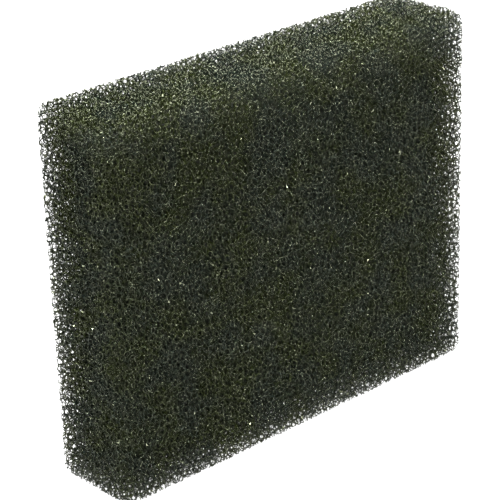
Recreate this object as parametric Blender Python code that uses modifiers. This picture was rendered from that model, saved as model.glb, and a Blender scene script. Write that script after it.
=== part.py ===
"""Foam air filter element of a small engine: one block of reticulated polyurethane foam.

Units are metres and +Z is up. The block stands on one of its long narrow sides, with the origin in
the middle of that side. X runs along the block, Y through its thickness, which is the way that the
air flows, and Z up its height. Its pores are far finer than a solid can carry, so the block is the
outer shape of the foam.
"""

import bpy

# Driving dimensions of the block.
WIDTH = 0.062
THICKNESS = 0.014
HEIGHT = 0.051

# Knife-cut foam has no sharp arris: the outermost cells give way, which leaves a small round.
EDGE_RADIUS = 0.0012
EDGE_SEGMENTS = 3

# Charcoal foam with a faint olive tint: dull, because its thin struts scatter the light.
FOAM_COLOUR = (0.024, 0.027, 0.019, 1.0)
FOAM_ROUGHNESS = 0.8
FOAM_METALLIC = 0.0

COLLECTION_NAME = "foam_air_filter_element"
BLOCK_NAME = "foam_block"


def clear_scene():
    """Removes every object that the scene starts with."""
    for obj in list(bpy.data.objects):
        bpy.data.objects.remove(obj, do_unlink=True)


def make_collection():
    """The collection that holds the object's parts."""
    collection = bpy.data.collections.new(COLLECTION_NAME)
    bpy.context.scene.collection.children.link(collection)
    return collection


def foam_material():
    """The block's plain colour and finish."""
    material = bpy.data.materials.new("charcoal_foam")
    material.use_nodes = True
    shader = material.node_tree.nodes["Principled BSDF"]
    shader.inputs["Base Color"].default_value = FOAM_COLOUR
    shader.inputs["Roughness"].default_value = FOAM_ROUGHNESS
    shader.inputs["Metallic"].default_value = FOAM_METALLIC
    material.diffuse_color = FOAM_COLOUR
    return material


def make_block(collection):
    """The foam block, standing on its long narrow side, with all twelve edges slightly rounded."""
    bpy.ops.mesh.primitive_cube_add(size=1.0, location=(0.0, 0.0, HEIGHT / 2))
    block = bpy.context.active_object
    block.name = BLOCK_NAME
    block.data.name = BLOCK_NAME
    block.scale = (WIDTH, THICKNESS, HEIGHT)
    bpy.ops.object.transform_apply(location=False, rotation=False, scale=True)

    rounding = block.modifiers.new("edge_rounding", "BEVEL")
    rounding.width = EDGE_RADIUS
    rounding.segments = EDGE_SEGMENTS
    rounding.limit_method = "NONE"

    block.data.materials.append(foam_material())
    for other in list(block.users_collection):
        other.objects.unlink(block)
    collection.objects.link(block)
    return block


def main():
    """Builds the filter element."""
    clear_scene()
    make_block(make_collection())


main()
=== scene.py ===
"""The looks of a foam air filter element: a cut block of charcoal open-cell foam.

The foam is built as what it is, a network of fine struts. A cube of foam that repeats without a seam is
grown first: evenly spread points become Voronoi cells, whose edges are the struts. The cube is then
turned, stretched and repeated through the block's skin, and cut off at the block's faces, as a blade
leaves it. A plain dark core stands for the struts that lie too deep to be seen.
"""

import itertools
import math

import bpy
import numpy as np
from mathutils import Euler, Matrix, Vector


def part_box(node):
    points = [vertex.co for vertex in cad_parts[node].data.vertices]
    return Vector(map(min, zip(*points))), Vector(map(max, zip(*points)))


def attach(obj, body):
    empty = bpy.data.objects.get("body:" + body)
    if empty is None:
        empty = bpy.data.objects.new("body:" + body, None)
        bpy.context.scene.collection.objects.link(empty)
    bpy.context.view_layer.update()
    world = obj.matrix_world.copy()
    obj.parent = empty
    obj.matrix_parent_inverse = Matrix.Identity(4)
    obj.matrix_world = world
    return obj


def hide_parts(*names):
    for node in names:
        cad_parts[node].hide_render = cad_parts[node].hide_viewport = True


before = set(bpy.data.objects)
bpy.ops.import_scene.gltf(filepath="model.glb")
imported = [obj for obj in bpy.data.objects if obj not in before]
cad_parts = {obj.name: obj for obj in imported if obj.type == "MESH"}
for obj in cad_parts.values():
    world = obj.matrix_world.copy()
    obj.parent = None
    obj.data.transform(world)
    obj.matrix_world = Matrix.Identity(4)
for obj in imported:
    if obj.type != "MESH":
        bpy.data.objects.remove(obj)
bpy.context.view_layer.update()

MM = 0.001
TINY_LENGTH = 1e-6 * MM
BLOCK = "foam_block"
UV_NAME = "OFBake"
SEED = 71

# The foam cells. They are taller than wide, because foam rises while it sets. The volume is the one
# before the stretch. The cube is turned by Euler angles, so that its copies don't line up with the block.
CELL_VOLUME = 0.37 * MM**3
CELL_STRETCH = 1.4
CELLS_IN_CUBE = 500
CUBE_TURN = (0.62, 0.41, 1.13)

# How the cells are evened out. In each spreading round, a point moves away from every point within its
# reach, counted in mean spacings, by a share of what their distance lacks. In each smoothing round, every
# corner is drawn halfway to the middle of the four that its struts lead to.
SPREADING_ROUNDS = 6
SPREADING_REACH = 1.3
SPREADING_SHARE = 0.25
SMOOTHING_ROUNDS = 3

# A cell's corners are looked for among this many nearest cells, enough to hold all its neighbours. Cells
# within the touching tolerance, a share of the cube's side squared, count as equally far from a corner.
# Four cells that span less than the flattest corner, a share of a cell's volume, have no corner.
CELLS_LOOKED_AT = 40
TOUCHING = 1e-9
FLATTEST_CORNER = 1e-6

# The struts. A corner's radius is how far its four points stand from its middle, and its spread is that of
# the logarithm. A strut that is cut off keeps a random share of what is inside the block, or nothing where
# that is less than the shortest stub, which is a share of the whole strut. A few sides of the struts are
# shaded flat, so that they glint.
CORNER_RADIUS = 0.052 * MM
CORNER_SPREAD = 0.4
SHORTEST_STUB = 0.06
STUB_LEFT = (0.25, 1.0)
FLAT_SHARE = 0.08

# A strut has six triangles, of which each of its two corners counts three. A cut one has an end too.
TRIANGLES_IN_HALF_STRUT = 3
TRIANGLES_IN_STUB = 7
TRIANGLES_IN_PIECE = 190000

# The block's cut edges are worn round. Hardly any light comes back from deeper than the skin, so a plain
# dark core stands for the struts there. It starts a little above the deepest struts, to hide their ends.
EDGE_RADIUS = 1.9 * MM
SKIN = 2.8 * MM
CORE_DEPTH = 2.3 * MM
CORE_EDGE_RADIUS = 3.2 * MM
CORE_EDGE_SEGMENTS = 5

# The dye. Blotches, struts and grains are counted per metre of foam. Between the two noise values of a
# _NOISE pair, the colour or the range that the noise drives goes from its one end to its other.
OLIVE = (0.0086, 0.0118, 0.0018)
CHARCOAL = (0.0066, 0.0100, 0.0082)
GLINT_TINT = (0.92, 1.0, 0.64)
BLOTCHES_PER_METRE = 230
BLOTCH_NOISE = (0.42, 0.58)
STRUTS_PER_METRE = 2000
STRUT_NOISE = (0.3, 0.7)
DYE_RANGE = (1.5, 0.2)
ROUGHNESS_RANGE = (0.15, 0.3)
STRUT_SPECULAR = 0.45
CORE_GRAINS_PER_METRE = 1500
CORE_NOISE = (0.4, 0.7)
CORE_DARK = (0.004, 0.005, 0.003)
CORE_LIGHT = (0.020, 0.023, 0.014)
CORE_ROUGHNESS_RANGE = (0.8, 1.0)

# The view. The camera aims at the block's middle, moved aside and down, from this far away.
CAMERA_AZIMUTH = math.radians(-41.4)
CAMERA_ELEVATION = math.radians(23.9)
CAMERA_ROLL = math.radians(-2.0)
CAMERA_DISTANCE = 257.0 * MM
CAMERA_ASIDE = -3.05 * MM
CAMERA_BELOW = 0.75 * MM
CAMERA_NEAREST = 10 * MM
LENS = 142.0

# The light: each lamp's place and size in metres, and its power in watts. The glint lamp is small and low,
# so that it flashes on the few struts that face it. The floor glows, so that no shadow shows on it.
WHITE = (1, 1, 1, 1)
WORLD_STRENGTH = 0.05
BACKDROP_STRENGTH = 1.0
FLOOR_SIZE = 6
FLOOR_ALBEDO = 0.1
FLOOR_ROUGHNESS = 0.9
FLOOR_GLOW = 1.0
OVERHEAD = ((0.0, 0.08, 0.8), 0.6, 44.0)
KEY = ((-0.75, -0.55, 0.3), 0.04, 10.0)
GLINT = ((0.6, -0.75, 0.25), 0.02, 9.0)

# The points of the triangle that faces each of a corner's four struts, anticlockwise seen from that strut.
FACING = np.array([(1, 2, 3), (0, 3, 2), (0, 1, 3), (0, 2, 1)])


# ---- One repeating cube of foam ----


def spread_points(rng, count, side):
    """Points in a cube that repeats, pushed apart until they are about evenly far from each other."""
    points = rng.random((count, 3)) * side
    reach = SPREADING_REACH * side / count ** (1 / 3)
    for _ in range(SPREADING_ROUNDS):
        gap = points[:, None] - points[None]
        gap -= side * np.round(gap / side)
        distance = np.linalg.norm(gap, axis=2)
        np.fill_diagonal(distance, reach)
        push = np.clip(reach - distance, 0, None) / distance
        points += SPREADING_SHARE * (gap * push[..., None]).sum(1)
    return points % side


def voronoi_corners(points, side):
    """Each corner where four cells meet: its place, the four cells, and the cube that each cell is in."""
    count = len(points)
    cubes = np.array(list(itertools.product((-1, 0, 1), repeat=3)))
    places = (points[None] + cubes[:, None] * side).reshape(-1, 3)
    cells = np.tile(np.arange(count), len(cubes))
    offsets = np.repeat(cubes, count, axis=0)
    triples = np.array(list(itertools.combinations(range(CELLS_LOOKED_AT), 3)))
    where, members, shifts = [], [], []
    for cell in range(count):
        away = places - points[cell]
        half_square = (away**2).sum(1) / 2
        half_square[half_square == 0] = np.inf
        close = np.sort(np.argpartition(half_square, CELLS_LOOKED_AT)[:CELLS_LOOKED_AT])
        step, half = away[close], half_square[close]
        later = triples[(cells[close][triples] > cell).all(1)]
        centre, solid = equal_distance(step[later], half[later], side**3 / count)
        empty = (centre @ step.T <= half + TOUCHING * side**2).all(1) & solid
        found = close[later[empty]]
        where.append(centre[empty] + points[cell])
        members.append(np.insert(cells[found], 0, cell, axis=1))
        shifts.append(np.insert(offsets[found], 0, 0, axis=1))
    where, members, shifts = (np.concatenate(part) for part in (where, members, shifts))
    order = np.argsort(members, axis=1)
    rows = np.arange(len(order))[:, None]
    return where, members[rows, order], shifts[rows, order]


def equal_distance(steps, half_squares, cell_volume):
    """The points as far from the origin as from each of three others, and whether the four span a volume."""
    a, b, c = steps[:, 0], steps[:, 1], steps[:, 2]
    sides = np.stack([np.cross(b, c), np.cross(c, a), np.cross(a, b)], axis=1)
    volume = (a * sides[:, 0]).sum(1)
    solid = np.abs(volume) > FLATTEST_CORNER * cell_volume
    total = (half_squares[..., None] * sides).sum(1)
    return total / np.where(solid, volume, 1)[:, None], solid


def join_corners(members, shifts):
    """What each corner's four struts lead to: another corner, its strut's number there, and its cube."""
    count = len(members)
    others = np.array([[k for k in range(4) if k != j] for j in range(4)])
    first = shifts[:, others[:, 0]]
    steps = [shifts[:, others[:, k]] - first for k in (1, 2)]
    keys = np.concatenate([members[:, others], *steps], axis=2).reshape(count * 4, 9)
    _, face, corners_of_face = np.unique(keys, axis=0, return_inverse=True, return_counts=True)
    if (corners_of_face != 2).any():
        raise ValueError("a strut of the foam has no corner at its other end")
    pairs = np.argsort(face.reshape(-1), kind="stable").reshape(-1, 2)
    partner = np.empty(count * 4, int)
    partner[pairs] = pairs[:, ::-1]
    first = first.reshape(-1, 3)
    cube = (first - first[partner]).reshape(count, 4, 3)
    return (partner // 4).reshape(count, 4), (partner % 4).reshape(count, 4), cube


class Cube:
    """A repeating cube of foam. Strut j of corner i goes along[i, j], to strut number[i, j] of corner
    other[i, j], in the copy of the cube that is cube[i, j] steps away."""

    def __init__(self, rng):
        self.side = (CELLS_IN_CUBE * CELL_VOLUME) ** (1 / 3)
        points = spread_points(rng, CELLS_IN_CUBE, self.side)
        self.where, members, shifts = voronoi_corners(points, self.side)
        self.other, self.number, self.cube = join_corners(members, shifts)
        for _ in range(SMOOTHING_ROUNDS):
            self.where = (self.where + self.strut_ends().mean(1)) / 2
        self.along = self.strut_ends() - self.where[:, None]
        self.along /= np.linalg.norm(self.along, axis=2, keepdims=True)
        self.number_struts_alike()
        radius = CORNER_RADIUS * np.exp(rng.normal(0, CORNER_SPREAD, len(self.where)))
        self.points = self.where[:, None] - self.along * radius[:, None, None]
        self.match_strut_ends()

    def strut_ends(self):
        """Where each corner's four struts end."""
        return self.where[self.other] + self.cube * self.side

    def number_struts_alike(self):
        """Swaps two struts of each corner whose struts are numbered the other way round."""
        order = np.tile(np.arange(4), (len(self.where), 1))
        order[np.linalg.det(self.along[:, :3] - self.along[:, 3:]) < 0] = (0, 1, 3, 2)
        rows = np.arange(len(order))[:, None]
        self.other, self.cube = self.other[rows, order], self.cube[rows, order]
        self.along = self.along[rows, order]
        self.number = order[self.other, self.number[rows, order]]

    def match_strut_ends(self):
        """For each strut, the far corner's three points in the order that twists the strut least."""
        near_end = self.points[:, FACING]
        far = self.points[self.other] + (self.cube * self.side)[:, :, None]
        facing = FACING[self.number][:, :, ::-1]
        far_end = np.take_along_axis(far, facing[..., None], axis=2)
        twist = [((np.roll(far_end, turn, axis=2) - near_end) ** 2).sum((2, 3)) for turn in range(3)]
        turned = (np.arange(3) - np.argmin(twist, axis=0)[..., None]) % 3
        self.far_facing = np.take_along_axis(facing, turned, axis=2)


# ---- The network that fills the block ----


def box_distance(points, half, radius):
    """How far each point is outside a box with round edges that is centred on the origin."""
    beyond = np.abs(points) - (half - radius)
    outside = np.linalg.norm(np.clip(beyond, 0, None), axis=-1)
    return outside + np.clip(beyond.max(-1), None, 0) - radius


class Network:
    """The corners of the repeated cube that lie in the block's skin, measured from the block's middle. Corner
    i is corner node[i] of the cube, in the cube's copy that is copy[i] steps away, and stands at place[i]."""

    def __init__(self, tile, half, rng):
        self.tile, self.half = tile, half
        self.warp = np.diag((1, 1, CELL_STRETCH)) @ np.array(Euler(CUBE_TURN).to_matrix())
        self.reach = int(np.linalg.norm(half) / tile.side) + 2
        copies = self.near_copies()
        node = np.tile(np.arange(len(tile.where)), len(copies))
        copy = np.repeat(copies, len(tile.where), axis=0)
        place = self.placed(tile.where[node], copy)
        depth = -box_distance(place, half, EDGE_RADIUS)
        inside = (depth > 0) & (depth < SKIN)
        self.node, self.copy, self.place = node[inside], copy[inside], place[inside]
        self.find_ends(depth[inside], rng)

    def placed(self, points, copy):
        """Points of the cube, where they are in the block for a copy of the cube."""
        return (points + copy * self.tile.side) @ self.warp.T

    def near_copies(self):
        """The copies of the cube that may have corners in the skin."""
        steps = np.arange(-self.reach, self.reach + 1)
        copies = np.array(list(itertools.product(steps, repeat=3)))
        middle = self.placed(np.full(3, self.tile.side / 2), copies)
        depth = -box_distance(middle, self.half, EDGE_RADIUS)
        margin = self.tile.side * CELL_STRETCH
        return copies[(depth > -margin) & (depth < SKIN + margin)]

    def find_ends(self, depth, rng):
        """The corner at each strut's end, or -1 where it is cut off, and how much of it a cut leaves."""
        tile = self.tile
        index = np.full((2 * self.reach + 3) ** 3 * len(tile.where), -1, np.int32)
        index[self.key(self.copy, self.node)] = np.arange(len(self.node))
        end_copy = self.copy[:, None] + tile.cube[self.node]
        end_node = tile.other[self.node]
        self.other = index[self.key(end_copy, end_node)]
        self.run = self.placed(tile.where[end_node], end_copy) - self.place[:, None]
        beyond = box_distance(self.place[:, None] + self.run, self.half, EDGE_RADIUS)
        reached = depth[:, None] / (depth[:, None] + np.clip(beyond, TINY_LENGTH, None))
        self.left = reached * rng.uniform(*STUB_LEFT, reached.shape)

    def key(self, copy, node):
        """One number for each corner of each copy of the cube."""
        span = 2 * self.reach + 3
        step = copy + self.reach + 1
        cube = (step[..., 0] * span + step[..., 1]) * span + step[..., 2]
        return cube * len(self.tile.where) + node

    def corner_points(self, corners):
        """The four points round each of these corners."""
        return self.placed(self.tile.points[self.node[corners]], self.copy[corners][:, None])

    def groups(self):
        """The corners in slabs across the block's width, each small enough to be one piece."""
        whole, cut = (self.other >= 0).sum(), (self.other < 0).sum()
        triangles = TRIANGLES_IN_HALF_STRUT * whole + TRIANGLES_IN_STUB * cut
        count = math.ceil(triangles / TRIANGLES_IN_PIECE)
        return [np.sort(slab) for slab in np.array_split(np.argsort(self.place[:, 0]), count)]


# ---- Meshes ----


def strut_sides(near, far):
    """The three quads of each strut, from the triangle at one end to the triangle at the other."""
    after = [1, 2, 0]
    quads = np.stack([near, near[:, after], far[:, after], far], axis=2)
    return quads.reshape(-1, 4)


def lay_flat(mesh, half):
    """Texture coordinates that look along the block's width, because a slab is thin that way."""
    place = np.empty(len(mesh.vertices) * 3, np.float32)
    mesh.vertices.foreach_get("co", place)
    vertex = np.empty(len(mesh.loops), np.int32)
    mesh.loops.foreach_get("vertex_index", vertex)
    place = place.reshape(-1, 3)[vertex]
    flat = (place[:, 1:] + (half[1], 0)) / (2 * half[1:])
    mesh.uv_layers.new(name=UV_NAME).data.foreach_set("uv", flat.astype(np.float32).reshape(-1))


def slab_mesh(net, corners, name, middle, rng):
    """The mesh of the struts round these corners, closed wherever a strut is cut or another slab begins."""
    count = len(corners)
    local = np.full(len(net.node) + 1, -1)
    local[corners] = np.arange(count)
    other = net.other[corners]
    here = local[other]
    near = np.arange(count)[:, None, None] * 4 + FACING
    far_facing = net.tile.far_facing[net.node[corners]]
    points = net.corner_points(corners)

    inner = (here >= 0) & (np.arange(count)[:, None] < here)
    crossing = (other >= 0) & (here < 0) & (corners[:, None] < other)
    stub = (other < 0) & (net.left[corners] > SHORTEST_STUB)
    bare = ~crossing & ~stub & (here < 0)

    far_points = net.corner_points(other[crossing])
    crossing_ends = np.take_along_axis(far_points, far_facing[crossing][..., None], axis=1)
    run = net.run[corners][stub] * net.left[corners][stub][:, None]
    stub_ends = points.reshape(-1, 3)[near[stub]] + run[:, None]
    open_ends = np.concatenate([crossing_ends, stub_ends])
    end_ids = count * 4 + np.arange(len(open_ends) * 3).reshape(-1, 3)

    vertices = np.concatenate([points.reshape(-1, 3), open_ends.reshape(-1, 3)])
    starts = np.concatenate([near[inner], near[crossing], near[stub]])
    ends = np.concatenate([here[inner][:, None] * 4 + far_facing[inner], end_ids])
    caps = np.concatenate([near[bare], end_ids])
    return mesh_of(name, vertices + middle, strut_sides(starts, ends), caps, rng)


def mesh_of(name, vertices, quads, triangles, rng):
    """A mesh of these faces, with a random few of them shaded flat."""
    mesh = bpy.data.meshes.new(name)
    corners = np.concatenate([quads.reshape(-1), triangles.reshape(-1)])
    first_triangle = len(quads) * 4
    starts = np.concatenate([np.arange(len(quads)) * 4, first_triangle + np.arange(len(triangles)) * 3])
    mesh.vertices.add(len(vertices))
    mesh.vertices.foreach_set("co", vertices.astype(np.float32).reshape(-1))
    mesh.loops.add(len(corners))
    mesh.loops.foreach_set("vertex_index", corners.astype(np.int32))
    mesh.polygons.add(len(starts))
    mesh.polygons.foreach_set("loop_start", starts.astype(np.int32))
    mesh.polygons.foreach_set("use_smooth", rng.random(len(starts)) > FLAT_SHARE)
    mesh.update(calc_edges=True)
    return mesh


# ---- Materials ----


def new_material(name):
    """A new material, its nodes, its links and its shader."""
    material = bpy.data.materials.new(name)
    material.use_nodes = True
    tree = material.node_tree
    return material, tree.nodes, tree.links, tree.nodes["Principled BSDF"]


def add_noise(nodes, links, scale, detail):
    """Noise in the foam's own space. The scale is in blobs per metre."""
    place = nodes.new("ShaderNodeTexCoord")
    texture = nodes.new("ShaderNodeTexNoise")
    texture.inputs["Scale"].default_value = scale
    texture.inputs["Detail"].default_value = detail
    links.new(place.outputs["Object"], texture.inputs["Vector"])
    return texture.outputs["Fac"]


def add_range(nodes, links, value, source, target):
    """The value, with the source range spread over the target range."""
    spread = nodes.new("ShaderNodeMapRange")
    for name, number in zip(("From Min", "From Max", "To Min", "To Max"), (*source, *target), strict=True):
        spread.inputs[name].default_value = number
    links.new(value, spread.inputs["Value"])
    return spread.outputs["Result"]


def add_ramp(nodes, links, value, source, low, high):
    """A colour between low and high, as the value goes through the source range."""
    ramp = nodes.new("ShaderNodeValToRGB")
    first, last = ramp.color_ramp.elements
    first.position, last.position = source
    first.color, last.color = (*low, 1), (*high, 1)
    links.new(value, ramp.inputs["Fac"])
    return ramp.outputs["Color"]


def strut_material():
    """Dyed foam: blotches of olive and bluish charcoal, and struts that differ in depth of dye and gloss."""
    material, nodes, links, shader = new_material("foam_strut")
    blotch = add_noise(nodes, links, BLOTCHES_PER_METRE, 2)
    dye = add_ramp(nodes, links, blotch, BLOTCH_NOISE, OLIVE, CHARCOAL)
    strut = add_noise(nodes, links, STRUTS_PER_METRE, 0)
    depth = nodes.new("ShaderNodeVectorMath")
    depth.operation = "SCALE"
    links.new(dye, depth.inputs[0])
    links.new(add_range(nodes, links, strut, STRUT_NOISE, DYE_RANGE), depth.inputs["Scale"])
    links.new(depth.outputs["Vector"], shader.inputs["Base Color"])
    gloss = add_range(nodes, links, strut, STRUT_NOISE, ROUGHNESS_RANGE)
    links.new(gloss, shader.inputs["Roughness"])
    shader.inputs["Specular IOR Level"].default_value = STRUT_SPECULAR
    shader.inputs["Specular Tint"].default_value = (*GLINT_TINT, 1)
    return material


def core_material():
    """The foam too deep to be seen: nearly black, dull and grainy."""
    material, nodes, links, shader = new_material("foam_core")
    grain = add_noise(nodes, links, CORE_GRAINS_PER_METRE, 2)
    links.new(add_ramp(nodes, links, grain, CORE_NOISE, CORE_DARK, CORE_LIGHT), shader.inputs["Base Color"])
    links.new(add_range(nodes, links, grain, (0, 1), CORE_ROUGHNESS_RANGE), shader.inputs["Roughness"])
    return material


# ---- The filter element ----


def make_core(half, middle):
    """The dark inside of the block, behind the struts of the skin."""
    bpy.ops.mesh.primitive_cube_add(size=1)
    core = bpy.context.object
    core.name = "foam_core"
    core.scale = (half - CORE_DEPTH) * 2
    core.location = middle
    bpy.ops.object.transform_apply(location=True, rotation=False, scale=True)
    edges = core.modifiers.new("round_edges", "BEVEL")
    edges.width = CORE_EDGE_RADIUS
    edges.segments = CORE_EDGE_SEGMENTS
    bpy.ops.object.modifier_apply(modifier=edges.name)
    core.data.shade_smooth()
    core.data.materials.append(core_material())
    return core


def make_foam():
    """The whole foam element: the core, and round it the struts, in slabs that show as one."""
    low, high = (np.array(corner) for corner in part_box(BLOCK))
    middle = (low + high) / 2
    rng = np.random.default_rng(SEED)
    net = Network(Cube(rng), (high - low) / 2, rng)
    material = strut_material()
    core = make_core(net.half, middle)
    for number, corners in enumerate(net.groups(), 1):
        mesh = slab_mesh(net, corners, f"foam_slab_{number:02d}", middle, rng)
        mesh.materials.append(material)
        lay_flat(mesh, net.half)
        slab = bpy.data.objects.new(mesh.name, mesh)
        bpy.context.scene.collection.objects.link(slab)
        slab.parent = core
    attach(core, "root")
    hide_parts(BLOCK)
    return middle


# ---- Stage ----


def make_floor():
    """The glowing white floor that the block stands on."""
    bpy.ops.mesh.primitive_plane_add(size=FLOOR_SIZE)
    floor = bpy.context.object
    floor.name = "studio_floor"
    material, _, _, shader = new_material("studio_floor")
    shader.inputs["Base Color"].default_value = (FLOOR_ALBEDO, FLOOR_ALBEDO, FLOOR_ALBEDO, 1)
    shader.inputs["Roughness"].default_value = FLOOR_ROUGHNESS
    shader.inputs["Emission Color"].default_value = WHITE
    shader.inputs["Emission Strength"].default_value = FLOOR_GLOW
    floor.data.materials.append(material)


def add_area(name, place, size, power, target):
    """A square lamp that faces the target."""
    light = bpy.data.lights.new(name, "AREA")
    light.size = size
    light.energy = power
    lamp = bpy.data.objects.new(name, light)
    lamp.location = place
    lamp.rotation_euler = (Vector(target) - Vector(place)).to_track_quat("-Z", "Y").to_euler()
    bpy.context.scene.collection.objects.link(lamp)


def make_world():
    """A faint even light, with a white backdrop that is seen past the floor but lights nothing."""
    world = bpy.data.worlds.new("studio")
    world.use_nodes = True
    nodes, links = world.node_tree.nodes, world.node_tree.links
    ambient = nodes["Background"]
    ambient.inputs["Color"].default_value = WHITE
    ambient.inputs["Strength"].default_value = WORLD_STRENGTH
    backdrop = nodes.new("ShaderNodeBackground")
    backdrop.inputs["Color"].default_value = WHITE
    backdrop.inputs["Strength"].default_value = BACKDROP_STRENGTH
    either = nodes.new("ShaderNodeMixShader")
    links.new(nodes.new("ShaderNodeLightPath").outputs["Is Camera Ray"], either.inputs["Fac"])
    links.new(ambient.outputs["Background"], either.inputs[1])
    links.new(backdrop.outputs["Background"], either.inputs[2])
    links.new(either.outputs["Shader"], nodes["World Output"].inputs["Surface"])
    return world


def light_scene(middle):
    """The world and the three lamps, which face the block's middle."""
    bpy.context.scene.world = make_world()
    add_area("overhead", *OVERHEAD, middle)
    add_area("key", *KEY, middle)
    add_area("glint", *GLINT, middle)
    bpy.context.scene.view_settings.view_transform = "Standard"


def place_camera(middle):
    """The camera, in front of the block's left end and above it."""
    aim = Vector(middle) + Vector((CAMERA_ASIDE, 0, -CAMERA_BELOW))
    level = math.cos(CAMERA_ELEVATION)
    x, y = math.sin(CAMERA_AZIMUTH) * level, -math.cos(CAMERA_AZIMUTH) * level
    back = Vector((x, y, math.sin(CAMERA_ELEVATION)))
    data = bpy.data.cameras.new("camera")
    data.lens = LENS
    data.clip_start = CAMERA_NEAREST
    camera = bpy.data.objects.new("camera", data)
    turn = back.to_track_quat("Z", "Y").to_matrix() @ Matrix.Rotation(CAMERA_ROLL, 3, "Z")
    camera.matrix_world = Matrix.Translation(aim + back * CAMERA_DISTANCE) @ turn.to_4x4()
    bpy.context.scene.collection.objects.link(camera)
    bpy.context.scene.camera = camera


middle = make_foam()
make_floor()
light_scene(middle)
place_camera(middle)
